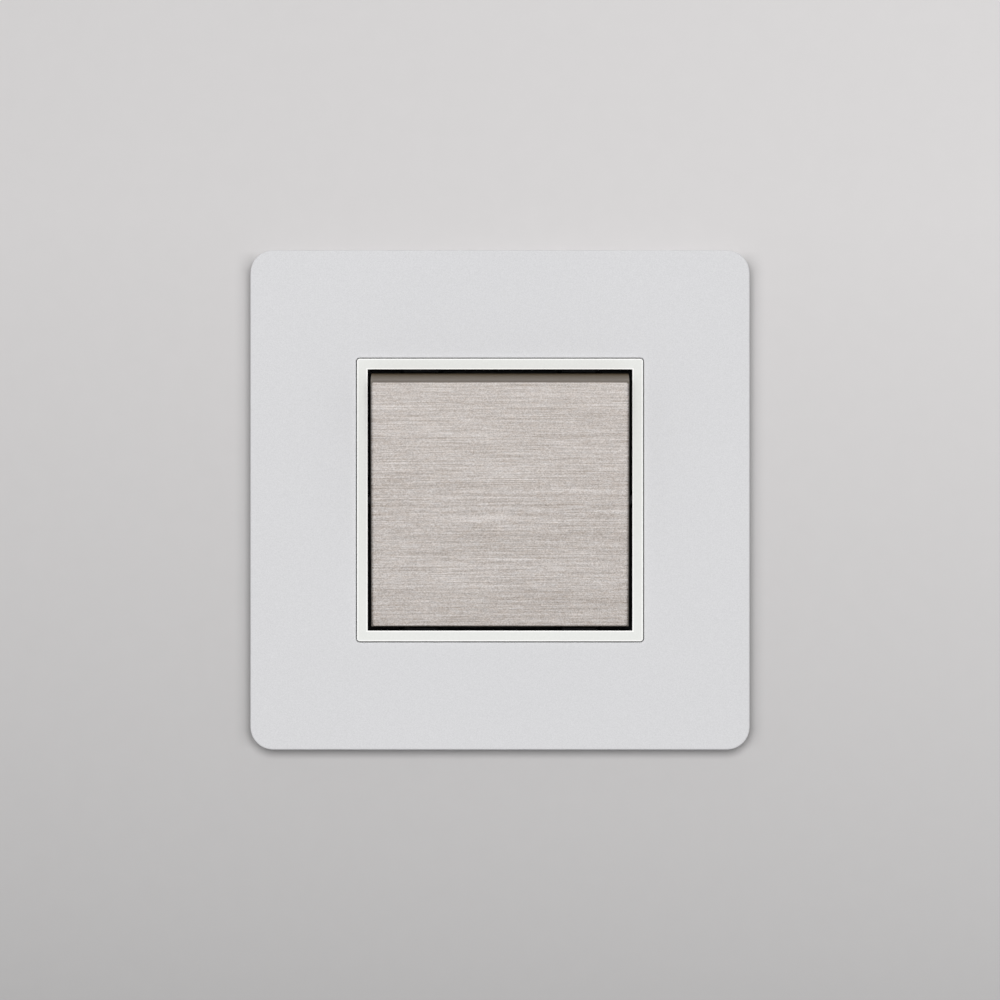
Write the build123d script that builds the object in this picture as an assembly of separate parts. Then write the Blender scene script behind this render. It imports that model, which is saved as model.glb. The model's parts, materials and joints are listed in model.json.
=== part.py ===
# Single rocker light switch for a one-gang wall box: a primed steel front plate, a white trim
# frame, and a brushed metal rocker that works a two-way contact behind it.
#
# The switch is drawn as a panel lying on its back: x to the right, y up the wall and z out of
# the wall, with the wall's surface at z = 0 and the two box screws centred on the origin. The
# export turns it upright, so that it faces -Y. Lengths are millimetres, angles are degrees.

import math
import os

from build123d import *

# Front plate, pressed from sheet, with a rim that stands on the wall
plate_size = 88.0
plate_corner_radius = 4.0
plate_sheet = 1.2
plate_edge_radius = 0.25
plate_over_screws = 0.3

# Trim frame, which shows as a white band round the rocker
opening_width = 46.5
opening_height = 45.9
trim_band = 1.95
trim_proud = 0.7
trim_lip = 0.8
trim_skirt_wall = 0.9
trim_skirt_length = 1.2
trim_corner_radius = 0.5
trim_edge_radius = 0.22
trim_gap = 0.15

# Clearances
seat_clearance = 0.02
running_clearance = 0.05
assembly_clearance = 0.1
stop_clearance = 0.15

# Rocker: the end walls are arcs about the pivot, so that its gap stays even as it swings
rocker_gap = 0.6
rocker_tilt = 7.5
face_height = 5.8
pressed_stand = 0.3
face_sheet = 0.6
face_inset = 0.1
face_edge_radius = 0.4
face_corner_radius = 0.5
key_face = 1.0
key_wall = 1.0
key_skirt = 1.8
carrier_face = 1.4
carrier_wall = 1.2
carrier_skirt = 2.4
carrier_rib = 1.0
carrier_rib_drop = 3.2
carrier_rib_offset = 11.0
boss_radius = 2.8
boss_length = 4.5
pin_radius = 1.25
pin_grip = 5.0
pin_chamfer = 0.2
notch_clearance = 0.25

# Stem, plunger and its spring, measured from the pivot into the wall
stem_radius = 3.2
stem_length = 8.6
stem_bore_radius = 2.0
stem_bore_start = -2.6
plunger_guide_start = 4.6
plunger_nose_radius = 1.5
plunger_nose_reach = 13.5
plunger_spigot_radius = 0.85
plunger_spigot_length = 2.0
plunger_stroke = 0.8
spring_wire_radius = 0.22
spring_wire_sides = 6
spring_turns = 5

# Rocking contact
contact_arm = 11.5
contact_end = 2.0
contact_width = 5.0
contact_sheet = 0.8
contact_play = 0.05
knuckle_radius = 1.2
knuckle_overhang = 0.7
knuckle_clearance = 0.1
tip_radius = 1.5
tip_rim = 0.4
tip_dome = 0.4
fixed_tip_radius = 1.8
fixed_tip_height = 0.7

# Strips that carry the current, and the bracket that the contact rocks in
strip_sheet = 0.8
strip_width = 4.4
pad_side_inset = 0.5
bracket_cheek = 0.8
bracket_depth = 5.0
bracket_under = 0.3
bracket_clearance = 0.12

# Moulded housing
body_wall = 1.05
collar_wall = 1.0
flange_side_reach = 1.9
flange_end_reach = 3.0
flange_sheet = 1.2
flange_corner_radius = 1.5
floor_sheet = 1.4
rear_wall = 1.5
rear_skirt = 11.0
slot_clearance = 0.4
chimney_side_room = 1.8
chimney_end_room = 1.5
chimney_wall = 1.2
chimney_gap = 0.15
latch_width = 6.0
latch_offset = 14.0
latch_catch = 1.0
latch_length = 4.0
latch_slit = 0.8
latch_root = 7.0
latch_play = 0.1

# Terminal base
base_clearance = 0.2
base_wall = 1.6
base_floor = 1.8
base_front = 9.0
case_screw_inset = 3.2
case_screw_radius = 1.1
case_screw_head_radius = 2.0
case_screw_head_height = 1.4
case_screw_clearance = 0.2
case_screw_bite = 4.0
pillar_wall = 1.6
shroud_wall = 1.1
shroud_proud = 1.2

# Terminals
terminal_width = 7.0
terminal_length = 9.4
terminal_depth = 7.8
terminal_end_inset = 0.6
terminal_chamfer = 0.4
wire_radius = 2.1
wire_depth = 3.0
clamp_screw_radius = 1.5
clamp_head_radius = 2.6
clamp_head_height = 1.9
clamp_screw_back_off = 0.9
screw_slot_width = 0.7
screw_slot_depth = 0.9

# Mounting yoke, stamped from sheet, with the two box screws
yoke_side_inset = 6.0
yoke_end_inset = 8.0
yoke_sheet = 1.2
yoke_corner_radius = 3.0
yoke_lip_gap = 0.4
yoke_window_clearance = 0.3
yoke_window_corner_radius = 1.0
box_screw_spacing = 60.3
box_screw_radius = 1.75
box_screw_neck_radius = 1.5
box_screw_length = 25.0
box_screw_neck_past_yoke = 0.2
box_screw_head_radius = 3.2
box_screw_head_height = 1.8
box_screw_head_room = 0.4
box_screw_point = 0.8
box_slot_radius = 2.0
box_slot_length = 7.0
earth_side_gap = 0.5
earth_length = 7.4
earth_rivet_radius = 1.5
earth_rivet_head_radius = 2.4
earth_rivet_head_height = 0.6

# Liner in the front plate, which snaps on to the yoke's lips
liner_sheet = 1.2
liner_gap = 0.15
liner_arm_width = 8.0
liner_arm_wall = 1.2
liner_arm_offset = 20.0
liner_arm_end = 0.4
snap_width = 5.0
snap_height = 0.9
snap_reach = 0.7
snap_above_wall = 0.9

# Sizes across, which follow from the sizes above
trim_width = opening_width + 2 * trim_band
trim_height = opening_height + 2 * trim_band
rocker_width = opening_width - 2 * rocker_gap
rocker_radius = opening_height / 2 - rocker_gap
body_width = opening_width + 2 * body_wall
body_height = opening_height + 2 * body_wall
base_width = body_width - 2 * rear_wall - 2 * base_clearance
base_height = body_height - 2 * rear_wall - 2 * base_clearance
yoke_width = plate_size - 2 * yoke_side_inset
yoke_height = plate_size - 2 * yoke_end_inset
case_screw_x = base_width / 2 - case_screw_inset
case_screw_y = base_height / 2 - case_screw_inset
shroud_width = terminal_width + 2 * assembly_clearance + 2 * shroud_wall
terminal_x = case_screw_x - case_screw_head_radius - case_screw_clearance - shroud_width / 2
terminal_y = base_height / 2 - terminal_end_inset - terminal_length / 2
pad_length = terminal_length - 2 * (base_wall - terminal_end_inset + assembly_clearance)
earth_x = body_width / 2 + earth_side_gap + terminal_width / 2
earth_y = body_height / 2 + flange_end_reach + earth_rivet_head_radius + assembly_clearance
box_screw_x = box_screw_spacing / 2
spring_coil_radius = (stem_bore_radius + plunger_spigot_radius) / 2
tilt = math.radians(rocker_tilt)

# Heights over the wall, which follow from the sizes above
head_front = yoke_sheet + box_screw_head_height
plate_inside = head_front + plate_over_screws
plate_front = plate_inside + plate_sheet
trim_front = plate_front + trim_proud
collar_front = trim_front - trim_lip
flange_front = yoke_sheet + flange_sheet
yoke_lip = plate_inside - yoke_lip_gap


def half_chord(radius, distance):
    """Half the width of a circle at this distance from its centre."""
    return math.sqrt(radius**2 - distance**2)


face_half = half_chord(rocker_radius, face_height)
pivot_z = trim_front + pressed_stand - face_height * math.cos(tilt) + face_half * math.sin(tilt)
key_front = face_height - face_sheet
carrier_radius = rocker_radius - key_wall - assembly_clearance
carrier_width = rocker_width - 2 * key_wall - 2 * assembly_clearance
carrier_front = key_front - key_face
key_swing = key_skirt * math.cos(tilt) + half_chord(rocker_radius, key_skirt) * math.sin(tilt)
carrier_swing = carrier_skirt * math.cos(tilt) + half_chord(carrier_radius, carrier_skirt) * math.sin(tilt)
floor_front = pivot_z - max(key_swing, carrier_swing) - stop_clearance
floor_back = floor_front - floor_sheet
nose_centre = plunger_nose_reach - plunger_nose_radius
rock_axis_z = pivot_z - plunger_nose_reach - contact_play - contact_sheet
tip_sphere = (tip_radius**2 + tip_dome**2) / (2 * tip_dome)
tip_height = tip_rim + tip_dome
tip_reach = contact_arm * math.sin(tilt) + (tip_height - tip_sphere) * math.cos(tilt) + tip_sphere
strip_front = rock_axis_z - tip_reach - contact_play - fixed_tip_height
strip_back = strip_front - strip_sheet
bracket_front = rock_axis_z - bracket_depth / 2 * math.tan(tilt) - bracket_clearance
base_back = strip_back - base_floor
terminal_back = strip_back - terminal_depth
shroud_back = terminal_back - shroud_proud
case_screw_tip = -base_front + case_screw_bite - assembly_clearance

# The three terminals: where each stands, and which way its wire leaves
terminals = {
    "common": (terminal_x, -terminal_y, -1),
    "l1": (-terminal_x, terminal_y, 1),
    "l2": (-terminal_x, -terminal_y, -1),
}
corners = [(sx, sy) for sx in (-1, 1) for sy in (-1, 1)]
sides = {"left": -1, "right": 1}


def prism(outline, back, front):
    """An outline in the wall's plane, made solid between two heights over the wall."""
    return Pos(0, 0, back) * extrude(outline, amount=front - back)


def oblong(width, height, radius=0.0, x=0.0, y=0.0):
    """A rectangle, with rounded corners if a radius is given."""
    outline = RectangleRounded(width, height, radius) if radius > 0 else Rectangle(width, height)
    return Pos(x, y) * outline


def disc(radius, x=0.0, y=0.0):
    """A circle in the wall's plane."""
    return Pos(x, y) * Circle(radius)


def rod(radius, length, end=Align.MIN):
    """A round bar along z that starts at z = 0, or ends there."""
    return Cylinder(radius, length, align=(Align.CENTER, Align.CENTER, end))


def bar_along_x(radius, start, end, y=0.0, z=0.0):
    """A round bar along x."""
    return Pos(start, y, z) * Rot(0, 90, 0) * rod(radius, end - start)


def bar_along_y(radius, start, end, x=0.0, z=0.0):
    """A round bar along y."""
    return Pos(x, start, z) * Rot(-90, 0, 0) * rod(radius, end - start)


def on_rocker(shape):
    """Puts a shape drawn about the pivot in place, tilted with its top out."""
    return Pos(0, 0, pivot_z) * Rot(rocker_tilt, 0, 0) * shape


def on_contact(shape):
    """Puts a shape drawn about the contact's axis in place, with its top pushed in."""
    return Pos(0, 0, rock_axis_z) * Rot(-rocker_tilt, 0, 0) * shape


def edges_at(shape, height):
    """The edges that lie flat at one height."""
    return shape.edges().filter_by_position(Axis.Z, height, height)


def rocker_body(radius, front, back, width):
    """A solid with flat front and back and with end walls that are arcs about the pivot."""
    front_half = half_chord(radius, front)
    back_half = half_chord(radius, back)
    outline = [
        Line((-front_half, front), (front_half, front)),
        ThreePointArc((front_half, front), (radius, 0), (back_half, -back)),
        Line((back_half, -back), (-back_half, -back)),
        ThreePointArc((-back_half, -back), (-radius, 0), (-front_half, front)),
    ]
    return extrude(Plane.YZ * make_face(outline), amount=width / 2, both=True)


def slotted_head(radius, height):
    """A cheese head that stands on z = 0, with a screwdriver slot."""
    slot = Pos(0, 0, height) * Box(2 * radius, screw_slot_width, 2 * screw_slot_depth)
    return rod(radius, height) - slot


def front_plate():
    """The visible plate: a shallow tray, open at the back, with the trim's window."""
    inside = plate_size - 2 * plate_sheet
    tray = prism(oblong(plate_size, plate_size, plate_corner_radius), 0, plate_front)
    tray = fillet(edges_at(tray, plate_front), plate_edge_radius)
    tray -= prism(oblong(inside, inside, plate_corner_radius - plate_sheet), 0, plate_inside)
    window = oblong(trim_width + 2 * trim_gap, trim_height + 2 * trim_gap, trim_corner_radius + trim_gap)
    return tray - prism(window, 0, plate_front)


def plate_liner():
    """Moulded ring bonded inside the front plate, with four arms that snap on to the yoke."""
    outside = plate_size - 2 * plate_sheet - 2 * liner_gap
    inner_height = yoke_height + 2 * liner_gap
    inner_width = yoke_width + 2 * liner_gap
    back = plate_inside - liner_sheet
    ring = oblong(outside, outside, plate_corner_radius - plate_sheet) - oblong(inner_width, inner_height)
    liner = prism(ring, back, plate_inside)
    for sx, sy in corners:
        x = sx * liner_arm_offset
        arm = oblong(liner_arm_width, liner_arm_wall, x=x, y=sy * (inner_height + liner_arm_wall) / 2)
        liner += prism(arm, liner_arm_end, plate_inside)
        snap = oblong(snap_width - 2 * liner_gap, snap_reach, x=x, y=sy * (inner_height - snap_reach) / 2)
        liner += prism(snap, snap_above_wall + liner_gap, snap_above_wall + snap_height - liner_gap)
    return liner


def trim_frame():
    """White frame that pushes over the housing's collar and stands proud of the front plate."""
    ring = oblong(trim_width, trim_height, trim_corner_radius) - oblong(opening_width, opening_height)
    band = prism(ring, collar_front - trim_skirt_length, trim_front)
    band = fillet(edges_at(band, trim_front), trim_edge_radius)
    skirt_inside = oblong(trim_width - 2 * trim_skirt_wall, trim_height - 2 * trim_skirt_wall)
    return band - prism(skirt_inside, 0, collar_front)


def housing_latch():
    """One latch: a wedge that springs out behind the yoke, drawn on the top wall at x = 0."""
    wall = body_height / 2
    outline = make_face(
        Polyline(
            (wall - rear_wall, -latch_play),
            (wall + latch_catch, -latch_play),
            (wall, -latch_play - latch_length),
            (wall - rear_wall, -latch_play - latch_length),
            close=True,
        )
    )
    return extrude(Plane.YZ * outline, amount=latch_width / 2, both=True)


def latch_slits():
    """The slit round three sides of a latch, which lets it bend inwards."""
    wall_y = body_height / 2 - rear_wall / 2
    high = latch_width / 2 + latch_slit
    cut = rear_wall + 2 * latch_catch
    around = Pos(0, wall_y, -latch_root / 2) * Box(2 * high, cut, latch_root)
    tongue = Pos(0, wall_y, -latch_root / 2 - latch_slit) * Box(latch_width, cut, latch_root)
    return around - tongue


def housing_shell():
    """The housing's walls: collar, flange on the yoke, rocker cavity and rear skirt."""
    collar = oblong(opening_width + 2 * collar_wall, opening_height + 2 * collar_wall)
    flange_width = body_width + 2 * flange_side_reach
    flange_height = body_height + 2 * flange_end_reach
    shell = prism(collar, yoke_sheet, collar_front)
    shell += prism(oblong(flange_width, flange_height, flange_corner_radius), yoke_sheet, flange_front)
    shell += prism(oblong(body_width, body_height), -rear_skirt, yoke_sheet)
    shell -= prism(oblong(opening_width, opening_height), floor_front, collar_front)
    rear_inside = oblong(body_width - 2 * rear_wall, body_height - 2 * rear_wall)
    return shell - prism(rear_inside, -rear_skirt, floor_back)


def contact_chimney():
    """The walls round the rocking contact, behind the cavity's floor."""
    width = contact_width + 2 * (knuckle_overhang + chimney_side_room)
    height = 2 * (contact_arm + contact_end + chimney_end_room)
    walls = oblong(width + 2 * chimney_wall, height + 2 * chimney_wall) - oblong(width, height)
    return prism(walls, strip_front + chimney_gap, floor_back)


def stem_slot():
    """The slot in the cavity's floor that the stem swings in."""
    reach = (pivot_z - floor_back) * math.sin(tilt) + stem_radius / math.cos(tilt) + slot_clearance
    return prism(oblong(2 * (stem_radius + slot_clearance), 2 * reach, stem_radius), floor_back, floor_front)


def module_housing():
    """Black moulding that holds the rocker, with its latches, bosses and the contact chimney."""
    housing = housing_shell() + contact_chimney() - stem_slot()
    for sx, sy in corners:
        x, y = sx * case_screw_x, sy * case_screw_y
        boss = disc(case_screw_radius + pillar_wall, x, y)
        screw_hole = disc(case_screw_radius + seat_clearance, x, y)
        housing += prism(boss, -base_front + assembly_clearance, floor_back)
        housing -= prism(screw_hole, -base_front, -base_front + case_screw_bite)
        place = Pos(sx * latch_offset, 0, 0) * Rot(0, 0, 0 if sy > 0 else 180)
        housing -= place * latch_slits()
        housing += place * housing_latch()
    for side in sides.values():
        head_room = disc(box_screw_head_radius + box_screw_head_room, side * box_screw_x)
        housing -= prism(head_room, yoke_sheet, head_front + box_screw_head_room)
        pin_hole = bar_along_x(pin_radius + seat_clearance, 0, body_width / 2 + flange_side_reach, z=pivot_z)
        housing -= pin_hole if side > 0 else mirror(pin_hole, Plane.YZ)
    return housing


def pivot_pin(side):
    """Steel pin, pressed into the housing's wall, that the rocker turns on."""
    end = opening_width / 2 + collar_wall
    start = end - pin_grip
    pin = bar_along_x(pin_radius, start, end, z=pivot_z)
    pin = chamfer(pin.edges().filter_by(GeomType.CIRCLE), pin_chamfer)
    return pin if side > 0 else mirror(pin, Plane.YZ)


def rocker_face():
    """The brushed metal face, a thin plate bonded to the key, with rounded front edges."""
    width = rocker_width - 2 * face_inset
    height = 2 * (face_half - face_inset)
    plate = prism(oblong(width, height, face_corner_radius), key_front, face_height)
    return on_rocker(fillet(edges_at(plate, face_height), face_edge_radius))


def rocker_key():
    """The moulded key under the face: a deep tray with notches that clear the pivot pins."""
    key = rocker_body(rocker_radius, key_front, key_skirt, rocker_width)
    inner_radius = rocker_radius - key_wall
    key -= rocker_body(inner_radius, carrier_front, key_skirt + key_wall, rocker_width - 2 * key_wall)
    notch_radius = pin_radius + notch_clearance
    key -= bar_along_x(notch_radius, -rocker_width, rocker_width)
    key -= Pos(0, 0, -key_skirt / 2) * Box(2 * rocker_width, 2 * notch_radius, key_skirt)
    return on_rocker(key)


def carrier_ribs():
    """Ribs under the carrier's face that tie the stem to its four walls."""
    ribs = Part()
    rib_z = carrier_front - carrier_face - carrier_rib_drop / 2
    across = carrier_width - carrier_wall
    along = 2 * half_chord(carrier_radius, carrier_front) - carrier_wall
    for offset in (-carrier_rib_offset, 0, carrier_rib_offset):
        ribs += Pos(offset, 0, rib_z) * Box(carrier_rib, along, carrier_rib_drop)
        ribs += Pos(0, offset, rib_z) * Box(across, carrier_rib, carrier_rib_drop)
    return ribs


def rocker_carrier():
    """Nylon carrier inside the key, with the pivot bosses and the stem that holds the plunger."""
    carrier = rocker_body(carrier_radius, carrier_front, carrier_skirt, carrier_width)
    top = carrier_front - carrier_face
    hollow_width = carrier_width - 2 * carrier_wall
    carrier -= rocker_body(carrier_radius - carrier_wall, top, carrier_skirt + carrier_wall, hollow_width)
    carrier += carrier_ribs()
    end = carrier_width / 2
    start = end - boss_length
    boss = bar_along_x(boss_radius, start, end)
    boss += Pos((start + end) / 2, 0, top / 2) * Box(boss_length, 2 * boss_radius, top)
    carrier += boss + mirror(boss, Plane.YZ)
    pin_hole = bar_along_x(pin_radius + running_clearance, start, end)
    carrier -= pin_hole + mirror(pin_hole, Plane.YZ)
    carrier += Pos(0, 0, top) * rod(stem_radius, stem_length + top, Align.MAX)
    carrier -= Pos(0, 0, -stem_bore_start) * rod(stem_bore_radius, stem_length - stem_bore_start, Align.MAX)
    return on_rocker(carrier)


def plunger():
    """Acetal plunger that slides in the stem, with a ball nose for the rocking contact."""
    guide_radius = stem_bore_radius - running_clearance
    guide_end = stem_length + plunger_stroke
    spigot_start = plunger_guide_start - plunger_spigot_length
    steps = Polyline(
        (0, -plunger_nose_reach),
        (0, -spigot_start),
        (plunger_spigot_radius, -spigot_start),
        (plunger_spigot_radius, -plunger_guide_start),
        (guide_radius, -plunger_guide_start),
        (guide_radius, -guide_end),
        (plunger_nose_radius, -guide_end),
        (plunger_nose_radius, -nose_centre),
    )
    nose = RadiusArc((plunger_nose_radius, -nose_centre), (0, -plunger_nose_reach), plunger_nose_radius)
    return on_rocker(revolve(Plane.XZ * make_face([steps, nose]), Axis.Z))


def plunger_spring():
    """Compression spring between the bottom of the stem's bore and the plunger's shoulder."""
    length = plunger_guide_start - stem_bore_start - 2 * spring_wire_radius
    coil = Helix(pitch=length / spring_turns, height=length, radius=spring_coil_radius)
    wire = Plane(origin=coil @ 0, z_dir=coil % 0) * RegularPolygon(spring_wire_radius, spring_wire_sides)
    spring = sweep(wire, path=coil, is_frenet=True)
    return on_rocker(Pos(0, 0, -plunger_guide_start + spring_wire_radius) * spring)


def moving_contact():
    """Copper rocking contact: a flat strip on a half-round knuckle."""
    length = 2 * (contact_arm + contact_end)
    strip = prism(oblong(contact_width, length, contact_end / 2), 0, contact_sheet)
    reach = contact_width / 2 + knuckle_overhang
    knuckle = bar_along_x(knuckle_radius, -reach, reach)
    return on_contact(strip + split(knuckle, Plane.XY, keep=Keep.BOTTOM))


def moving_tip(side):
    """Domed silver tip riveted under one end of the rocking contact."""
    ball = Pos(0, 0, tip_sphere - tip_height) * Sphere(tip_sphere)
    dome = ball & (Pos(0, 0, -tip_rim) * rod(tip_radius, tip_dome, Align.MAX))
    return on_contact(Pos(0, side * contact_arm, 0) * (rod(tip_radius, tip_rim, Align.MAX) + dome))


def fixed_tip(side):
    """Flat silver tip on a strip, under one end of the rocking contact."""
    return prism(disc(fixed_tip_radius, 0, side * contact_arm), strip_front, strip_front + fixed_tip_height)


def terminal_pad(name):
    """The end of a strip that lies on its terminal block."""
    x, y, _ = terminals[name]
    return oblong(terminal_width - 2 * pad_side_inset, pad_length, x=x, y=y)


def live_strip(name, side):
    """Brass strip from a terminal block to the fixed tip beside the centre line."""
    x, y, _ = terminals[name]
    tip_y = side * contact_arm
    start = x - strip_width / 2
    end = fixed_tip_radius + assembly_clearance
    arm = oblong(end - start, strip_width, x=(start + end) / 2, y=tip_y)
    riser = oblong(strip_width, abs(y - tip_y) + strip_width, x=x, y=(y + tip_y) / 2)
    return prism(terminal_pad(name) + riser + arm, strip_back, strip_front)


def common_strip():
    """Brass strip from the common terminal, folded up into the bracket under the contact."""
    x, y, _ = terminals["common"]
    bracket_inside = contact_width / 2 - bracket_under
    bracket_outside = bracket_inside + bracket_cheek
    riser = oblong(strip_width, abs(y) + strip_width / 2, x=x, y=(y + strip_width / 2) / 2)
    across = oblong(x + bracket_outside, strip_width, x=(x - bracket_outside) / 2)
    strip = prism(terminal_pad("common") + riser + across, strip_back, strip_front)
    for side in sides.values():
        middle = side * (bracket_inside + bracket_outside) / 2
        cheek = oblong(bracket_cheek, bracket_depth, x=middle)
        strip += prism(cheek, strip_back, bracket_front)
    reach = bracket_outside + assembly_clearance
    return strip - bar_along_x(knuckle_radius + knuckle_clearance, -reach, reach, z=rock_axis_z)


def wire_block(width, length, front, depth, x, y):
    """Brass block with a wire hole along y and a tapped hole for its screw from behind."""
    block = prism(oblong(width, length, x=x, y=y), front - depth, front)
    block = chamfer(block.edges().filter_by(Axis.Y), terminal_chamfer)
    wire_z = front - wire_depth
    block -= bar_along_y(wire_radius, y - length / 2, y + length / 2, x=x, z=wire_z)
    return block - prism(disc(clamp_screw_radius + seat_clearance, x, y), front - depth, wire_z)


def clamp_screw(front, depth, x, y):
    """Slotted screw, backed off so that its wire hole is open."""
    tip = front - wire_depth - wire_radius - assembly_clearance
    head = front - depth - clamp_screw_back_off
    thread = prism(disc(clamp_screw_radius, x, y), head, tip)
    return thread + Pos(x, y, head) * Rot(180, 0, 0) * slotted_head(clamp_head_radius, clamp_head_height)


def terminal_block(name):
    """Brass block of one terminal, seated in the base."""
    x, y, _ = terminals[name]
    return wire_block(terminal_width, terminal_length, strip_back, terminal_depth, x, y)


def terminal_screw(name):
    """Clamp screw of one terminal."""
    x, y, _ = terminals[name]
    return clamp_screw(strip_back, terminal_depth, x, y)


def terminal_base():
    """Rear moulding: a tray for the strips, with a shroud round each terminal block."""
    outside = oblong(base_width, base_height)
    inside = oblong(base_width - 2 * base_wall, base_height - 2 * base_wall)
    base = prism(outside - inside, strip_back, -base_front) + prism(outside, base_back, strip_back)
    for x, y, out in terminals.values():
        outer = out * base_height / 2
        inner = y - out * (terminal_length / 2 + assembly_clearance)
        shroud_inner = inner - out * shroud_wall
        shroud = oblong(shroud_width, abs(outer - shroud_inner), x=x, y=(outer + shroud_inner) / 2)
        pocket = oblong(shroud_width - 2 * shroud_wall, abs(outer - inner), x=x, y=(outer + inner) / 2)
        base += prism(shroud, shroud_back, base_back)
        base -= prism(pocket, shroud_back, strip_back)
    for sx, sy in corners:
        x, y = sx * case_screw_x, sy * case_screw_y
        hole_radius = case_screw_radius + case_screw_clearance
        base += prism(disc(hole_radius + pillar_wall, x, y) & outside, strip_back, -base_front)
        base -= prism(disc(hole_radius, x, y), base_back, -base_front)
        base -= prism(disc(case_screw_head_radius + assembly_clearance, x, y), shroud_back, base_back)
    return base


def case_screw(sx, sy):
    """Screw from behind that holds the terminal base to the housing."""
    shank = rod(case_screw_radius, case_screw_tip - base_back)
    head = Rot(180, 0, 0) * slotted_head(case_screw_head_radius, case_screw_head_height)
    return Pos(sx * case_screw_x, sy * case_screw_y, base_back) * (shank + head)


def mounting_yoke():
    """Stamped steel yoke: window for the module, slots for the box screws, and snap lips."""
    yoke = prism(oblong(yoke_width, yoke_height, yoke_corner_radius), 0, yoke_sheet)
    lip_y = (yoke_height - yoke_sheet) / 2
    for sy in (-1, 1):
        yoke += prism(oblong(yoke_width - 2 * yoke_corner_radius, yoke_sheet, y=sy * lip_y), 0, yoke_lip)
    for sx, sy in corners:
        hole = oblong(snap_width, 2 * yoke_sheet, x=sx * liner_arm_offset, y=sy * lip_y)
        yoke -= prism(hole, snap_above_wall, snap_above_wall + snap_height)
    window_width = body_width + 2 * yoke_window_clearance
    window_height = body_height + 2 * yoke_window_clearance
    yoke -= prism(oblong(window_width, window_height, yoke_window_corner_radius), 0, yoke_sheet)
    for side in sides.values():
        slot = Pos(side * box_screw_x, 0) * Rot(0, 0, 90) * SlotOverall(box_slot_length, 2 * box_slot_radius)
        yoke -= prism(slot, 0, yoke_sheet)
    return yoke - prism(disc(earth_rivet_radius + seat_clearance, earth_x, earth_y), 0, yoke_sheet)


def box_screw(side):
    """Machine screw that fixes the yoke to the wall box, with a neck where it passes the slot."""
    neck_length = yoke_sheet + box_screw_neck_past_yoke
    thread = Pos(0, 0, -neck_length) * rod(box_screw_radius, box_screw_length - neck_length, Align.MAX)
    thread = chamfer(thread.edges().sort_by(Axis.Z)[0], box_screw_point)
    neck = rod(box_screw_neck_radius, neck_length, Align.MAX)
    head = slotted_head(box_screw_head_radius, box_screw_head_height)
    return Pos(side * box_screw_x, 0, yoke_sheet) * (thread + neck + head)


def earth_terminal():
    """Brass earth block riveted to the back of the yoke."""
    block = wire_block(terminal_width, earth_length, 0, terminal_depth, earth_x, earth_y)
    rivet = rod(earth_rivet_radius, yoke_sheet)
    rivet += Pos(0, 0, yoke_sheet) * rod(earth_rivet_head_radius, earth_rivet_head_height)
    return block + Pos(earth_x, earth_y) * rivet


def all_pieces():
    """Every piece by name, in the place that it has at rest."""
    pieces = {
        "front_plate": front_plate(),
        "plate_liner": plate_liner(),
        "trim_frame": trim_frame(),
        "module_housing": module_housing(),
        "terminal_base": terminal_base(),
        "mounting_yoke": mounting_yoke(),
        "rocker_face": rocker_face(),
        "rocker_key": rocker_key(),
        "rocker_carrier": rocker_carrier(),
        "plunger": plunger(),
        "plunger_spring": plunger_spring(),
        "moving_contact": moving_contact(),
        "moving_tip_l1": moving_tip(1),
        "moving_tip_l2": moving_tip(-1),
        "fixed_tip_l1": fixed_tip(1),
        "fixed_tip_l2": fixed_tip(-1),
        "strip_l1": live_strip("l1", 1),
        "strip_l2": live_strip("l2", -1),
        "strip_common": common_strip(),
        "earth_terminal": earth_terminal(),
        "earth_screw": clamp_screw(0, terminal_depth, earth_x, earth_y),
    }
    for name, side in sides.items():
        pieces[f"pivot_pin_{name}"] = pivot_pin(side)
        pieces[f"box_screw_{name}"] = box_screw(side)
    for name in terminals:
        pieces[f"terminal_block_{name}"] = terminal_block(name)
        pieces[f"terminal_screw_{name}"] = terminal_screw(name)
    for number, (sx, sy) in enumerate(corners, start=1):
        pieces[f"case_screw_{number}"] = case_screw(sx, sy)
    return pieces


os.makedirs("parts", exist_ok=True)
for name, piece in all_pieces().items():
    export_step(Rot(90, 0, 0) * piece, f"parts/{name}.step")
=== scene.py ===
import json
import math

import bmesh
import bpy
from mathutils import Matrix, Vector


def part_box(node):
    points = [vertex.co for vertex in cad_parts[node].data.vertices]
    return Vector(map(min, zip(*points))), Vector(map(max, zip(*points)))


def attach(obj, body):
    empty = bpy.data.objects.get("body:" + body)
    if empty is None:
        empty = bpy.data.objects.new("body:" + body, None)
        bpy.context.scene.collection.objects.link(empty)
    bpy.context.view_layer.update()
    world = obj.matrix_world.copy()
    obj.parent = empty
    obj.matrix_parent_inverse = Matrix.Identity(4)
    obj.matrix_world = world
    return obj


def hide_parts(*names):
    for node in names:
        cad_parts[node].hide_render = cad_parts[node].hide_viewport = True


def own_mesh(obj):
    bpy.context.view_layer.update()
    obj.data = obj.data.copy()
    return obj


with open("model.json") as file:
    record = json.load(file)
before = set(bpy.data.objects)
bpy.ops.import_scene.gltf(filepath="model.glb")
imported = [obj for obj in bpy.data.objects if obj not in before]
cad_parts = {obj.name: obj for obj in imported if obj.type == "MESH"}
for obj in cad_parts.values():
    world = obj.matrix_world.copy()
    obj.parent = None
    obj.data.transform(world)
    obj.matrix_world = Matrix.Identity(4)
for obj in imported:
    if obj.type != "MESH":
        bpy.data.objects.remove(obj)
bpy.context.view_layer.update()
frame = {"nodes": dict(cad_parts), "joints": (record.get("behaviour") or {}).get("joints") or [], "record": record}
print("frame loaded:", len(frame["nodes"]), "nodes")

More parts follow.
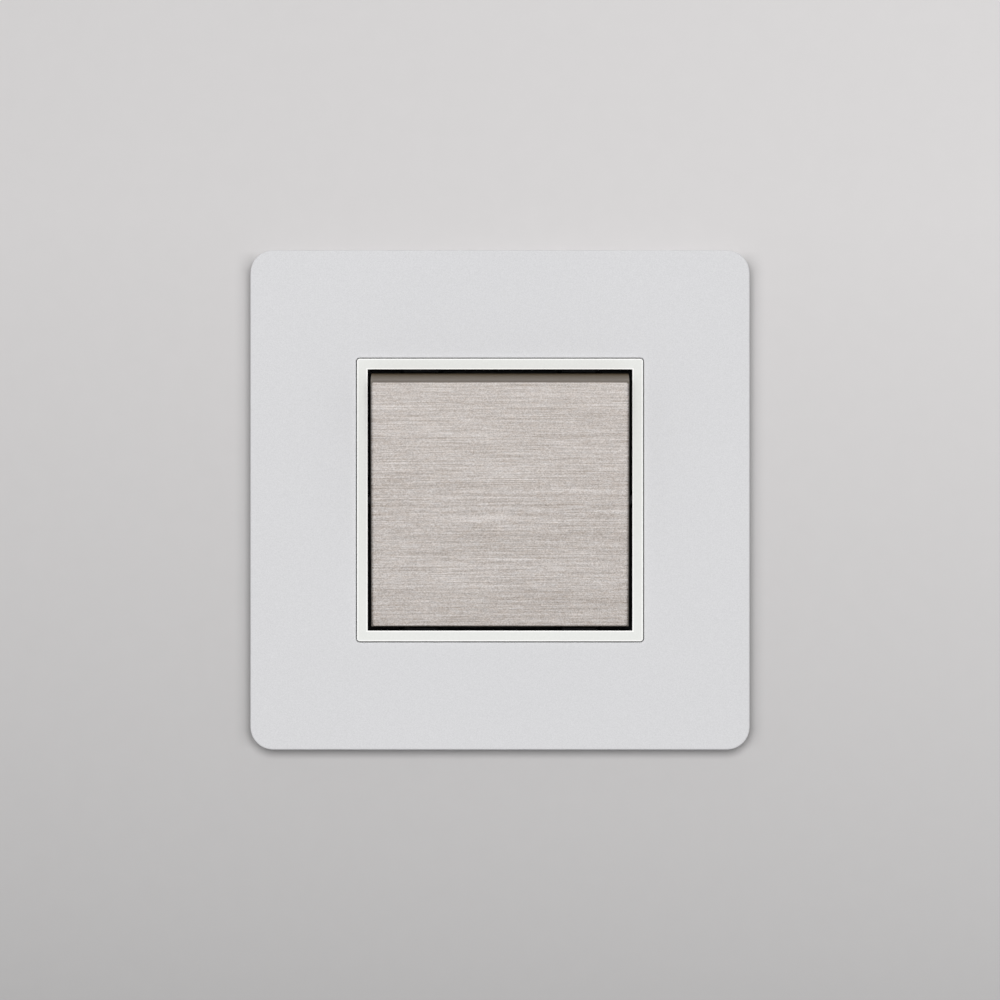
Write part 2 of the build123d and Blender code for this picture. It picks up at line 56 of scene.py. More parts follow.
mm = 0.001
trimBand = 1.90 * mm  # how wide the white frame shows round the rocker
joints = {joint["name"]: joint for joint in frame["joints"]}
swing = joints["rocker_swing"]
tilt = math.radians(swing["range_deg"][1]) / 2  # the rocker rests with its top out by half its swing
pivot = Vector(swing["pos_m"])

# Pieces are drawn as on a panel lying on its back: x right, y up the wall, z out of the wall
uprightPanel = Matrix.Rotation(math.radians(90), 4, "X")
tiltedPanel = Matrix.Translation(pivot) @ Matrix.Rotation(math.radians(90) + tilt, 4, "X")


def spanOf(node):
    # how wide a node is, how tall, and the lowest and highest it stands out of the wall
    low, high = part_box(node)
    return high.x - low.x, high.z - low.z, -high.y, -low.y


def linear(red, green, blue):
    # an 8-bit screen colour as the linear values that a shader takes
    return tuple(((c / 255 + 0.055) / 1.055) ** 2.4 for c in (red, green, blue))


def dyed(colour, dye):
    return tuple(own * part for own, part in zip(colour, dye))


# Shaders

class Wire:
    # a shader socket that takes part in sums: each operator adds one Math node
    def __init__(self, finish, socket):
        self.finish = finish
        self.socket = socket

    def math(self, operation, first, second):
        return self.finish.node("Math", {"operation": operation}, {0: first, 1: second})

    def __add__(self, other):
        return self.math("ADD", self, other)

    __radd__ = __add__

    def __sub__(self, other):
        return self.math("SUBTRACT", self, other)

    def __rsub__(self, other):
        return self.math("SUBTRACT", other, self)

    def __mul__(self, other):
        return self.math("MULTIPLY", self, other)

    __rmul__ = __mul__

    def __truediv__(self, other):
        return self.math("DIVIDE", self, other)

    def __pow__(self, other):
        return self.math("POWER", self, other)

    def __abs__(self):
        return self.math("ABSOLUTE", self, 0.0)

    def largest(self, other):
        return self.math("MAXIMUM", self, other)

    def clamped(self):
        return self.finish.node("Clamp", {}, {"Value": self})

    def above(self, level, softness):
        # 0 under the level and 1 over it, with a soft step between
        return ((self - level) / softness + 0.5).clamped()

    def swayed(self, amount):
        # noise from 0 to 1 as a change around 0, by half the amount either way at the most
        return (self - 0.5) * amount


class Finish:
    # one material, or the world, built by adding nodes and wires
    def __init__(self, name, tree=None):
        if tree is None:
            self.material = bpy.data.materials.new(name)
            self.material.use_nodes = True
            tree = self.material.node_tree
        self.tree = tree
        tree.nodes.clear()

    def node(self, kind, settings=None, sockets=None, out=0):
        made = self.tree.nodes.new("ShaderNode" + kind)
        for key, value in (settings or {}).items():
            setattr(made, key, value)
        for key, value in (sockets or {}).items():
            self.feed(made.inputs[key], value)
        return Wire(self, made.outputs[out]) if made.outputs else None

    def feed(self, socket, value):
        if isinstance(value, Wire):
            self.tree.links.new(value.socket, socket)
        elif socket.type == "RGBA" and len(value) == 3:
            socket.default_value = (*value, 1.0)
        else:
            socket.default_value = value

    def place(self):
        return self.node("TexCoord", out="Object")

    def axes(self, place):
        # a place's x, y and z as three wires
        return [self.node("SeparateXYZ", {}, {0: place}, axis) for axis in "XYZ"]

    def noise(self, size, place=None, detail=2.0, rough=0.5):
        # cloudy grain whose blotches are about this size in metres, or sizes along x, y and z
        sizes = (size, size, size) if isinstance(size, float) else size
        stretch = tuple(1 / each for each in sizes)
        sockets = {0: place or self.place(), 1: stretch}
        scaled = self.node("VectorMath", {"operation": "MULTIPLY"}, sockets)
        sockets = {"Vector": scaled, "Scale": 1.0, "Detail": detail, "Roughness": rough}
        return self.node("TexNoise", {}, sockets, "Fac")

    def blend(self, amount, first, second):
        return self.node("Mix", {"data_type": "RGBA"}, {0: amount, 6: first, 7: second}, 2)

    def shade(self, colour, *amounts):
        # a colour made lighter or darker by a value around 1, or by one each for red, green and blue
        red, green, blue = amounts if len(amounts) == 3 else amounts * 3
        tint = self.node("CombineXYZ", {}, {0: red, 1: green, 2: blue})
        settings = {"data_type": "RGBA", "blend_type": "MULTIPLY"}
        return self.node("Mix", settings, {0: 1.0, 6: colour, 7: tint}, 2)

    def bump(self, height, depth):
        return self.node("Bump", {}, {"Height": height, "Distance": depth, "Strength": 1.0})

    def surface(self, **sockets):
        shader = self.node("BsdfPrincipled", {}, {key.replace("_", " "): v for key, v in sockets.items()})
        self.node("OutputMaterial", {}, {"Surface": shader})
        return self.material


moulding = {
    "flow": (12 * mm, 12 * mm, 5 * mm),  # marks that the melt leaves
    "cloud": 2.5 * mm,
    "cloudShare": 0.6,  # of the mottle, which the flow marks carry in full
    "grainShare": 0.5,
    "grainRough": 0.12,
    "flowRough": 0.08,
    "refraction": 1.48,
}
plastics = {
    "black_moulding": {
        "name": "blackMoulding", "colour": (0.008, 0.008, 0.009),
        "rough": 0.55, "grain": 0.20 * mm, "depth": 0.008 * mm, "mottle": 0.30,
    },
    "rocker_nylon": {
        "name": "blackNylon", "colour": (0.014, 0.014, 0.015),
        "rough": 0.42, "grain": 0.35 * mm, "depth": 0.004 * mm, "mottle": 0.30,
    },
    "base_moulding": {
        "name": "baseMoulding", "colour": (0.62, 0.62, 0.60),
        "rough": 0.48, "grain": 0.30 * mm, "depth": 0.006 * mm, "mottle": 0.07,
    },
    "liner_moulding": {
        "name": "linerMoulding", "colour": (0.50, 0.50, 0.49),
        "rough": 0.50, "grain": 0.30 * mm, "depth": 0.007 * mm, "mottle": 0.08,
    },
    "acetal": {
        "name": "acetal", "colour": (0.80, 0.79, 0.74),
        "rough": 0.30, "grain": 0.50 * mm, "depth": 0.002 * mm, "mottle": 0.03, "coat": 0.2,
    },
}


def mouldedPlastic(name, colour, rough, grain, depth, mottle, coat=0.0):
    # spark-eroded mould texture, with faint flow marks in the colour
    finish = Finish(name)
    fine = finish.noise(grain, detail=3.0)
    flow = finish.noise(moulding["flow"], detail=3.0, rough=0.6)
    cloud = finish.noise(moulding["cloud"])
    tone = 1 + flow.swayed(mottle) + cloud.swayed(mottle * moulding["cloudShare"])
    tone = tone + fine.swayed(mottle * moulding["grainShare"])
    return finish.surface(
        Base_Color=finish.shade(colour, tone),
        Roughness=rough + fine.swayed(moulding["grainRough"]) + flow.swayed(moulding["flowRough"]),
        Normal=finish.bump(fine, depth),
        Coat_Weight=coat,
        IOR=moulding["refraction"],
    )


rolling = {
    "line": (4.0 * mm, 0.12 * mm, 0.12 * mm),  # the fine lines of rolling or drawing
    "patch": 3.5 * mm,
    "speck": 0.4 * mm,
    "patchLevel": (0.56, 0.25),  # the noise over which there is tarnish, and how softly it starts
    "speckLevel": (0.66, 0.10),
    "patchShare": 0.7,  # of the tarnish
    "speckShare": 0.3,
    "lineTone": 0.22,
    "speckTone": 0.06,
    "lineRough": 0.18,
    "tarnishRough": 0.14,
    "depth": 0.0015 * mm,
}
metals = {
    "spring_steel": {
        "name": "springWire", "colour": (0.52, 0.52, 0.53), "tarnish": (0.36, 0.34, 0.32), "rough": 0.28,
    },
    "brass": {
        "name": "brass", "colour": (0.80, 0.60, 0.27), "tarnish": (0.52, 0.36, 0.16), "rough": 0.27,
    },
    "copper": {
        "name": "copper", "colour": (0.83, 0.46, 0.30), "tarnish": (0.50, 0.24, 0.15), "rough": 0.27,
    },
    "silver": {
        "name": "silverAlloy", "colour": (0.86, 0.86, 0.84), "tarnish": (0.55, 0.53, 0.50), "rough": 0.25,
    },
}


def rolledMetal(name, colour, tarnish, rough):
    # sheet or wire with the fine lines of its making, and thin patches of tarnish
    finish = Finish(name)
    lines = finish.noise(rolling["line"], detail=3.0, rough=0.6)
    patches = finish.noise(rolling["patch"], detail=4.0, rough=0.6)
    specks = finish.noise(rolling["speck"])
    aged = patches.above(*rolling["patchLevel"]) * rolling["patchShare"]
    aged = aged + specks.above(*rolling["speckLevel"]) * rolling["speckShare"]
    tone = 1 + lines.swayed(rolling["lineTone"]) + specks.swayed(rolling["speckTone"])
    return finish.surface(
        Base_Color=finish.shade(finish.blend(aged, colour, tarnish), tone),
        Metallic=1.0,
        Roughness=rough + lines.swayed(rolling["lineRough"]) + aged * rolling["tarnishRough"],
        Normal=finish.bump(lines * 0.8 + specks * 0.2, rolling["depth"]),
    )


plating = {
    "line": (6.0 * mm, 0.15 * mm, 0.15 * mm),
    "coolDye": (0.93, 0.97, 1.02),
    "coolLevel": (0.50, 0.35),  # the noise over which the tint shows, and how softly
    "strawDye": (1.02, 0.97, 0.86),
    "strawLevel": (0.58, 0.20),
    "strawSize": 2.3,  # of the straw-coloured clouds, in spangles
    "strawShare": 0.4,
    "lineTone": 0.34,
    "cloudTone": 0.26,
    "lineRough": 0.10,
    "cloudRough": 0.14,
    "depth": 0.002 * mm,
}
platings = {
    "yoke_steel": {"name": "zincYoke", "colour": (0.53, 0.54, 0.55), "rough": 0.32, "spangle": 2.2 * mm},
    "screw_steel": {"name": "zincScrew", "colour": (0.56, 0.55, 0.52), "rough": 0.27, "spangle": 0.8 * mm},
    # painted shade: the pins are painted near black, so that they read as the shade of the gap round the rocker
    "pin_steel": {"name": "shadedPinBlack", "colour": (0.03, 0.03, 0.031), "rough": 0.42, "spangle": 0.8 * mm},
}


def platedSteel(name, colour, rough, spangle):
    # zinc plating: bright, with cloudy passivation tints and fine rolling lines
    finish = Finish(name)
    lines = finish.noise(plating["line"], detail=3.0, rough=0.6)
    clouds = finish.noise(spangle, detail=3.0, rough=0.65)
    cool = clouds.above(*plating["coolLevel"])
    cooled = finish.blend(cool, colour, dyed(colour, plating["coolDye"]))
    straw = finish.noise(spangle * plating["strawSize"]).above(*plating["strawLevel"])
    tinted = finish.blend(straw * plating["strawShare"], cooled, dyed(colour, plating["strawDye"]))
    tone = 1 + lines.swayed(plating["lineTone"]) + clouds.swayed(plating["cloudTone"])
    return finish.surface(
        Base_Color=finish.shade(tinted, tone),
        Metallic=1.0,
        Roughness=rough + clouds.swayed(plating["cloudRough"]) + lines.swayed(plating["lineRough"]),
        Normal=finish.bump(lines * 0.6 + clouds * 0.4, plating["depth"]),
    )


platePaint = {
    "colour": linear(217, 217, 219),
    "roughness": 0.5,
    "roughSway": 0.15,
    "pimple": 0.35 * mm,  # size of the powder coat's pimples
    "grain": 0.35 * mm / 2.6,
    "drift": 30 * mm,
    "pimpleTone": 0.04,
    "grainTone": 0.27,
    "driftTone": 0.02,
    "depth": 0.0035 * mm,
    "refraction": 1.45,
}


def plateFinish():
    finish = Finish("platePaint")
    pimples = finish.noise(platePaint["pimple"], rough=0.6)
    fine = finish.noise(platePaint["grain"], detail=1.0)
    drift = finish.noise(platePaint["drift"], detail=1.0)
    tone = 1 + fine.swayed(platePaint["grainTone"]) + pimples.swayed(platePaint["pimpleTone"])
    return finish.surface(
        Base_Color=finish.shade(platePaint["colour"], tone + drift.swayed(platePaint["driftTone"])),
        Roughness=platePaint["roughness"] + pimples.swayed(platePaint["roughSway"]),
        Normal=finish.bump(pimples * 0.7 + fine * 0.3, platePaint["depth"]),
        IOR=platePaint["refraction"],
    )


trimPlastic = {
    "colour": linear(234, 235, 232),
    "rimHighlightColour": linear(255, 255, 253),  # painted highlight: the band's two rims are painted paler, as a highlight along their rounded edges
    "rimWidth": 0.25 * mm,
    "rimSoftness": 0.04 * mm,
    "rimPolish": 0.1,
    "roughness": 0.38,
    "roughSway": 0.12,
    "grain": 0.28 * mm,
    "grainTone": 0.11,
    "flowTone": 0.02,
    "depth": 0.0015 * mm,
    "refraction": 1.45,
}


def trimFinish():
    finish = Finish("trimPlastic")
    place = finish.place()
    width, height, _, _ = spanOf("trim_frame")
    x, _, z = finish.axes(place)
    fromOpening = (abs(x) - width / 2).largest(abs(z) - height / 2) + trimBand
    fromMiddle = abs(fromOpening - trimBand / 2)
    # painted highlight: the rim mask marks where the rims are painted paler
    rim = fromMiddle.above(trimBand / 2 - trimPlastic["rimWidth"], trimPlastic["rimSoftness"])
    fine = finish.noise(trimPlastic["grain"], place, detail=3.0)
    flow = finish.noise(moulding["flow"], place)
    tone = 1 + flow.swayed(trimPlastic["flowTone"]) + fine.swayed(trimPlastic["grainTone"])
    rimHighlighted = finish.blend(rim, trimPlastic["colour"], trimPlastic["rimHighlightColour"])
    rough = trimPlastic["roughness"] + fine.swayed(trimPlastic["roughSway"])
    return finish.surface(
        Base_Color=finish.shade(rimHighlighted, tone),
        Roughness=rough - rim * trimPlastic["rimPolish"],
        Normal=finish.bump(fine, trimPlastic["depth"]),
        IOR=trimPlastic["refraction"],
    )


brushing = {
    "colour": (0.562, 0.517, 0.488),
    "contrast": (0.91, 1.0, 1.09),  # of red, green and blue, so that the darker streaks are browner
    "level": 1.04,
    "toplightPaling": 2.4,  # painted light: the panel is painted a touch paler towards its top, as if lit from above, by this much per metre
    "roughness": 0.42,
    "metallic": 0.85,
    "anisotropy": 0.5,
    "anisotropyTurn": 0.25,
    "longStreak": (15 * mm, 16 * mm, 0.09 * mm),  # sizes along x, y and z
    "shortStreak": (4.5 * mm, 16 * mm, 0.08 * mm),
    "band": (90 * mm, 10 * mm, 1.8 * mm),
    "scratch": (8 * mm, 16 * mm, 0.10 * mm),
    "scratchLevel": (0.72, 0.08),  # the noise over which there is a scratch, and how softly it starts
    "sparkle": (0.21 * mm, 16 * mm, 0.12 * mm),
    "tint": (1.2 * mm, 16 * mm, 0.15 * mm),
    "longTone": 0.88,
    "shortTone": 0.80,
    "bandTone": 0.22,
    "scratchTone": 0.12,
    "sparkleTone": 0.85,
    "tintTone": 0.11,
    "streakRough": 0.3,
    "scratchPolish": 0.1,
    "sideShade": 0.70,  # painted shade: the rolled side edges are painted darker, as they mirror less of the room
    "sideWidth": 0.50 * mm,
    "sideFade": 1.5,
    "depth": 0.004 * mm,
}


def brushedFinish():
    finish = Finish("brushedNickel")
    place = finish.place()
    longOnes = finish.noise(brushing["longStreak"], place, detail=1.0)
    shortOnes = finish.noise(brushing["shortStreak"], place, detail=1.0)
    bands = finish.noise(brushing["band"], place)
    scratches = finish.noise(brushing["scratch"], place, detail=0.0).above(*brushing["scratchLevel"])
    specks = finish.noise(brushing["sparkle"], place, detail=0.0)
    warmth = finish.noise(brushing["tint"], place).swayed(brushing["tintTone"])
    across, _, height = finish.axes(place)
    fromSide = (spanOf("rocker_face")[0] / 2 - abs(across)) / brushing["sideWidth"]
    side = (1 - fromSide).clamped() ** brushing["sideFade"]
    # painted light and shade: paler towards the top, darker along the side edges
    drift = height * brushing["toplightPaling"] + brushing["level"] - side * brushing["sideShade"]
    streaks = longOnes.swayed(brushing["longTone"]) + shortOnes.swayed(brushing["shortTone"])
    streaks = streaks + bands.swayed(brushing["bandTone"])
    grain = streaks + specks.swayed(brushing["sparkleTone"]) + scratches * brushing["scratchTone"]
    red, green, blue = [grain * contrast + drift for contrast in brushing["contrast"]]
    rough = brushing["roughness"] + streaks * brushing["streakRough"]
    return finish.surface(
        Base_Color=finish.shade(brushing["colour"], red + warmth, green, blue - warmth),
        Metallic=brushing["metallic"],
        Roughness=rough - scratches * brushing["scratchPolish"],
        Anisotropic=brushing["anisotropy"],
        Anisotropic_Rotation=brushing["anisotropyTurn"],
        Normal=finish.bump(longOnes * 0.5 + shortOnes * 0.5 + scratches * 0.4, brushing["depth"]),
    )


keyPlastic = {
    "deep": (0.098, 0.074, 0.046),
    "pale": (0.255, 0.226, 0.198),
    "paleAt": 5.2 * mm,  # over the pivot, where the moulding meets the metal face
    "fade": 2.1,
    "jointWidth": 0.24 * mm,  # painted shadow: a dark line painted along the joint with the face, where the face's edge shades it
    "jointSoftness": 0.05 * mm,
    "jointShade": 0.25,
    "grain": 0.18 * mm,
    "streak": (18 * mm, 1.2 * mm, 1.2 * mm),  # faint flow streaks from side to side
    "grainTone": 0.12,
    "streakTone": 0.20,
    "roughness": 0.45,
    "roughSway": 0.15,
    "depth": 0.004 * mm,
    "gloss": 0.1,
}


def keyFinish():
    # satin taupe moulding under the metal face, with painted shade: darker deep in the recess and paler towards
    # the face
    finish = Finish("keyMoulding")
    place = finish.place()
    fine = finish.noise(keyPlastic["grain"], place)
    streaks = finish.noise(keyPlastic["streak"], place, detail=3.0, rough=0.6)
    outward = tiltedPanel.to_3x3() @ Vector((0, 0, 1))
    fromPivot = finish.node("VectorMath", {"operation": "SUBTRACT"}, {0: place, 1: tuple(pivot)})
    sockets = {0: fromPivot, 1: tuple(outward)}
    rise = finish.node("VectorMath", {"operation": "DOT_PRODUCT"}, sockets, "Value")
    # painted shade: the colour goes from the shaded deep end to the pale end as the moulding rises towards the
    # face
    paler = (rise / keyPlastic["paleAt"]).clamped() ** keyPlastic["fade"]
    # painted shadow along the joint with the face
    joint = rise.above(keyPlastic["paleAt"] - keyPlastic["jointWidth"], keyPlastic["jointSoftness"])
    tone = 1 + streaks.swayed(keyPlastic["streakTone"]) + fine.swayed(keyPlastic["grainTone"])
    toned = finish.blend(paler, keyPlastic["deep"], keyPlastic["pale"])
    return finish.surface(
        Base_Color=finish.shade(toned, tone - joint * keyPlastic["jointShade"]),
        Roughness=keyPlastic["roughness"] + fine.swayed(keyPlastic["roughSway"]),
        Normal=finish.bump(fine, keyPlastic["depth"]),
        Specular_IOR_Level=keyPlastic["gloss"],
    )


finishes = {
    "front_plate": plateFinish(),
    "trim": trimFinish(),
    "rocker_metal": brushedFinish(),
    "rocker_key": keyFinish(),
}
for maker, looks in ((mouldedPlastic, plastics), (rolledMetal, metals), (platedSteel, platings)):
    finishes.update({slot: maker(**look) for slot, look in looks.items()})
slotOf = {part["node"]: part["material_slot"] for part in frame["record"]["subparts"]}
bodyOf = {node: body for body, nodes in frame["record"]["behaviour"]["bodies"].items() for node in nodes}
print("finishes made:", len(finishes))


# Meshes

def addObject(name, data):
    # a mesh, lamp or camera as an object of the scene
    made = bpy.data.objects.new(name, data)
    bpy.context.scene.collection.objects.link(made)
    return made


def seat(name, work, node, smoothFlats=True):
    # turns finished mesh work into a piece that stands for one node of the frame
    mesh = bpy.data.meshes.new(name)
    bmesh.ops.recalc_face_normals(work, faces=work.faces)
    for face in work.faces:
        face.smooth = True
    work.to_mesh(mesh)
    work.free()
    piece = addObject(name, mesh)
    if smoothFlats:
        even = piece.modifiers.new("evenFlats", "WEIGHTED_NORMAL")
        even.weight = 100
    mesh.materials.append(finishes[slotOf[node]])
    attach(piece, bodyOf[node])
    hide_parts(node)
    return piece


def skin(work, rings, closed=False, capped=False):
    # faces between each ring of points and the next, with the last joined to the first or both ends filled
    pairs = list(zip(rings, rings[1:]))
    if closed:
        pairs.append((rings[-1], rings[0]))
    for low, high in pairs:
        for index in range(len(low)):
            after = (index + 1) % len(low)
            work.faces.new((low[index], low[after], high[after], high[index]))
    if capped:
        work.faces.new(rings[0])
        work.faces.new(rings[-1])


cornerSteps = 8
smallestRadius = 0.02 * mm
flatStart = 1.25  # how far in the first station on a flat lies, in radii of the edge beside it


def outline(width, height, radius):
    # points of a rectangle with round corners, anticlockwise from the right-hand side
    points = []
    for number, (sx, sy) in enumerate([(1, 1), (-1, 1), (-1, -1), (1, -1)]):
        for step in range(cornerSteps + 1):
            angle = math.radians(90) * (number + step / cornerSteps)
            across = sx * (width / 2 - radius) + radius * math.cos(angle)
            up = sy * (height / 2 - radius) + radius * math.sin(angle)
            points.append((across, up))
    return points


def inset(shape, by):
    # the same rounded rectangle, drawn smaller all round
    width, height, radius = shape
    return (width - 2 * by, height - 2 * by, max(radius - by, smallestRadius))


def roundEdge(shape, radius, front, intoWindow=False, steps=5):
    # stations of a quarter round from a wall up to the front, or from the front down into a window,
    # with one more station on the front that keeps the flat beside it evenly lit
    side = -1 if intoWindow else 1
    stations = []
    for step in range(steps + 1):
        angle = math.radians(90) * step / steps
        by, drop = radius * (1 - math.cos(angle)), radius * (1 - math.sin(angle))
        stations.append((inset(shape, side * by), front - drop))
    stations.append((inset(shape, side * flatStart * radius), front))
    return stations[::side]


def loft(stations, place, closed=False, capped=False):
    # skins a row of rounded rectangles, each at its own height
    work = bmesh.new()
    rings = []
    for shape, height in stations:
        points = [place @ Vector((x, y, height)) for x, y in outline(*shape)]
        rings.append([work.verts.new(point) for point in points])
    skin(work, rings, closed, capped)
    return work


plate = {
    "cornerRadius": 4.0 * mm,
    "sheet": 1.2 * mm,
    "frontEdge": 0.25 * mm,
    "windowGap": 0.15 * mm,  # all round the trim
    "windowRadius": 0.65 * mm,
    "windowEdge": 0.28 * mm,
    "wallEdge": 0.1 * mm,
}


def makePlate():
    width, height, back, front = spanOf("front_plate")
    trimWidth, trimHeight, _, _ = spanOf("trim_frame")
    gap, edge, small = plate["windowGap"], plate["windowEdge"], plate["wallEdge"]
    outside = (width, height, plate["cornerRadius"])
    window = (trimWidth + 2 * gap, trimHeight + 2 * gap, plate["windowRadius"])
    inside = inset(outside, plate["sheet"])
    insideFront = front - plate["sheet"]
    stations = [(inset(outside, small), back), (outside, back + small)]
    stations += roundEdge(outside, plate["frontEdge"], front)
    stations += roundEdge(window, edge, front, intoWindow=True)
    stations += [(window, insideFront + edge), (inset(window, -edge), insideFront)]
    stations += [(inset(inside, small), insideFront), (inside, insideFront - small)]
    stations += [(inside, back + small), (inset(inside, -small), back)]
    return seat("plate_sheet", loft(stations, uprightPanel, closed=True), "front_plate")


trim = {
    "cornerRadius": 0.5 * mm,
    "openingRadius": 0.08 * mm,
    "outerEdge": 0.12 * mm,
    "innerEdge": 0.06 * mm,
    "skirtWall": 0.9 * mm,
    "lip": 0.8 * mm,
    "skirtEdge": 0.08 * mm,
}


def makeTrim():
    width, height, back, front = spanOf("trim_frame")
    outside = (width, height, trim["cornerRadius"])
    opening = (width - 2 * trimBand, height - 2 * trimBand, trim["openingRadius"])
    skirt = inset(outside, trim["skirtWall"])
    lipBack = front - trim["lip"]
    small = trim["skirtEdge"]
    stations = [(inset(outside, small), back), (outside, back + small)]
    stations += roundEdge(outside, trim["outerEdge"], front)
    stations += roundEdge(opening, trim["innerEdge"], front, intoWindow=True)
    stations += [(opening, lipBack + small), (inset(opening, -small), lipBack)]
    stations += [(skirt, lipBack), (skirt, back + small), (inset(skirt, -small), back)]
    return seat("trim_moulding", loft(stations, uprightPanel, closed=True), "trim_frame")


rockerFace = {
    "topOverhang": 0.02 * mm,  # past the ends of the frame's own face
    "bottomOverhang": 0.15 * mm,
    "sheet": 0.6 * mm,
    "height": 5.775 * mm,  # over the pivot
    "edge": 0.25 * mm,
    "backEdge": 0.12 * mm,
    "cornerRadius": 0.5 * mm,
}


def makeRockerFace():
    # the box of the tilted plate gives its length: z span = length cos(tilt) + sheet sin(tilt)
    width, upright, _, _ = spanOf("rocker_face")
    length = (upright - rockerFace["sheet"] * math.sin(tilt)) / math.cos(tilt)
    above, below = rockerFace["topOverhang"], rockerFace["bottomOverhang"]
    shape = (width, length + above + below, rockerFace["cornerRadius"])
    place = tiltedPanel @ Matrix.Translation((0, (above - below) / 2, 0))
    front = rockerFace["height"]
    back = front - rockerFace["sheet"]
    small = rockerFace["backEdge"]
    stations = [(inset(shape, small), back), (shape, back + small)]
    stations += roundEdge(shape, rockerFace["edge"], front, steps=6)
    return seat("brushed_face", loft(stations, place, capped=True), "rocker_face")


makePlate()
makeTrim()
makeRockerFace()
print("plate, trim and brushed face made")


rounding = {
    "weld": 0.002 * mm,  # points nearer than this are one
    "flatAngle": math.radians(0.6),  # facets nearer to level than this are one flat
    "sharpAngle": math.radians(32),  # edges sharper than this are rounded
    "segments": 2,
}
edgeRadii = {
    "module_housing": 0.12 * mm,
    "terminal_base": 0.12 * mm,
    "rocker_carrier": 0.10 * mm,
    "rocker_key": 0.08 * mm,
    "plate_liner": 0.10 * mm,
    "mounting_yoke": 0.10 * mm,
    "plunger": 0.06 * mm,
    "moving_contact": 0.05 * mm,
    "moving_tip_l1": 0.03 * mm,
    "moving_tip_l2": 0.03 * mm,
    "fixed_tip_l1": 0.05 * mm,
    "fixed_tip_l2": 0.05 * mm,
    "strip_l1": 0.05 * mm,
    "strip_l2": 0.05 * mm,
    "strip_common": 0.05 * mm,
    "earth_terminal": 0.07 * mm,
    "terminal_block_common": 0.07 * mm,
    "terminal_block_l1": 0.07 * mm,
    "terminal_block_l2": 0.07 * mm,
    "pivot_pin_left": 0.03 * mm,
    "pivot_pin_right": 0.03 * mm,
}


def roundedCopy(node, edgeRadius, cut=None):
    # the node's own solid with its flats merged and its sharp edges rounded; a cut is a level on y,
    # and 1 or -1 for the side of it that is kept
    work = bmesh.new()
    work.from_mesh(frame["nodes"][node].data)
    bmesh.ops.remove_doubles(work, verts=work.verts, dist=rounding["weld"])
    if cut is not None:
        level, keptSide = cut
        place, outward = Vector((0, level, 0)), Vector((0, keptSide, 0))
        geometry = [*work.verts, *work.edges, *work.faces]
        bmesh.ops.bisect_plane(work, geom=geometry, plane_co=place, plane_no=outward, clear_inner=True)
        rim = [edge for edge in work.edges if edge.is_boundary]
        bmesh.ops.holes_fill(work, edges=rim, sides=0)
    bmesh.ops.dissolve_limit(
        work, angle_limit=rounding["flatAngle"], verts=work.verts, edges=work.edges,
    )
    inner = [edge for edge in work.edges if len(edge.link_faces) == 2]
    sharp = [edge for edge in inner if edge.calc_face_angle(0.0) > rounding["sharpAngle"]]
    bmesh.ops.bevel(
        work, geom=sharp, offset=edgeRadius, offset_type="OFFSET", segments=rounding["segments"],
        profile=0.5, affect="EDGES", clamp_overlap=False,
    )
    return work


for node, edgeRadius in edgeRadii.items():
    seat(node + "_body", roundedCopy(node, edgeRadius), node)
print("mouldings and contact parts made")


threadForm = {
    "pitchSteps": 8,  # rings to a turn of the thread
    "flank": 2.6,  # how steep the flanks are, between pointed crests and flat roots
    "tipRadius": 0.72,  # what is left of the radius at the very tip
    "tipDepth": 0.2,  # and of the thread's depth
    "sink": 0.05 * mm,  # how far the shank starts inside its head
    "headEdge": 0.06 * mm,
}
boxScrew = {
    "nodes": ["box_screw_left", "box_screw_right"],
    "tipTowards": 1,  # into the wall, or -1 for out of it
    "headHeight": 1.8 * mm,
    "radius": 1.75 * mm,  # over the thread
    "neckRadius": 1.5 * mm,
    "neckLength": 1.4 * mm,
    "pitch": 0.6 * mm,
    "depth": 0.34 * mm,
    "point": 0.8 * mm,  # length of the tapered tip
    "turnSteps": 40,
}
clampScrew = {
    "nodes": ["terminal_screw_common", "terminal_screw_l1", "terminal_screw_l2", "earth_screw"],
    "tipTowards": -1,
    "headHeight": 1.9 * mm,
    "radius": 1.5 * mm,
    "neckRadius": 1.2 * mm,
    "neckLength": 0.5 * mm,
    "pitch": 0.5 * mm,
    "depth": 0.28 * mm,
    "point": 0.25 * mm,
    "turnSteps": 36,
}
caseScrew = {
    "nodes": [f"case_screw_{number}" for number in range(1, 5)],
    "tipTowards": -1,
    "headHeight": 1.4 * mm,
    "radius": 1.1 * mm,
    "neckRadius": 0.8 * mm,
    "neckLength": 1.0 * mm,
    "pitch": 0.8 * mm,
    "depth": 0.30 * mm,
    "point": 0.5 * mm,
    "turnSteps": 32,
}


def addThread(work, centre, start, end, screw):
    # a shank along y from start to end: plain at its neck, threaded after it, tapered at its tip
    towards = screw["tipTowards"]
    length = abs(end - start)
    plain = screw["neckLength"] + threadForm["sink"]
    count = math.ceil(length / (screw["pitch"] / threadForm["pitchSteps"]))
    rings = []
    for number in range(count + 1):
        along = length * number / count
        grown = min(max((along - plain) / screw["pitch"], 0.0), 1.0)  # the thread starts over one turn
        left = min((length - along) / screw["point"], 1.0)
        outer = screw["radius"] * (threadForm["tipRadius"] + (1 - threadForm["tipRadius"]) * left)
        deepest = screw["depth"] * min(left + threadForm["tipDepth"], 1.0)
        ring = []
        for step in range(screw["turnSteps"]):
            turn = step / screw["turnSteps"]
            phase = (along / screw["pitch"] + turn * towards) % 1.0
            groove = min(abs(phase - 0.5) * threadForm["flank"], 1.0)
            reach = screw["neckRadius"] * (1 - grown) + (outer - deepest * groove) * grown
            angle = 2 * math.pi * turn
            x = centre.x + reach * math.cos(angle)
            z = centre.z + reach * math.sin(angle)
            ring.append(work.verts.new((x, start + towards * along, z)))
        rings.append(ring)
    skin(work, rings, capped=True)


